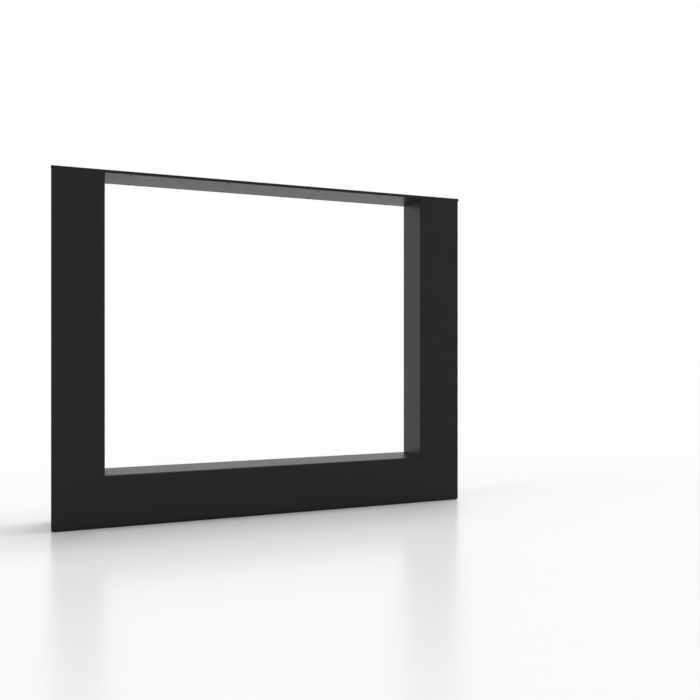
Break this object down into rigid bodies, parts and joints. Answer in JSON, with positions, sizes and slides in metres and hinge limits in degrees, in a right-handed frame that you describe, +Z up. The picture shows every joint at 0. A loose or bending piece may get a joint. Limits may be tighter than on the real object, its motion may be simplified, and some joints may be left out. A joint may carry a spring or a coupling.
{
  "type": "table leg",
  "caption": "Upright rectangular table leg frame of square steel tube, with a drilled flat plate across the top for fixing under a table top.",
  "frame": {"origin": "on the floor, at the centre of the leg's footprint", "axes": "+X along the leg's width, +Y through its depth, +Z up to the table top"},
  "size_m": [0.9, 0.1, 0.72],
  "materials": {
    "black_powder_coat": "satin black powder coat on steel"
  },
  "bodies": {
    "root": {"left_upright": "black_powder_coat", "right_upright": "black_powder_coat", "bottom_bar": "black_powder_coat", "top_plate": "black_powder_coat"}
  },
  "joints": []
}
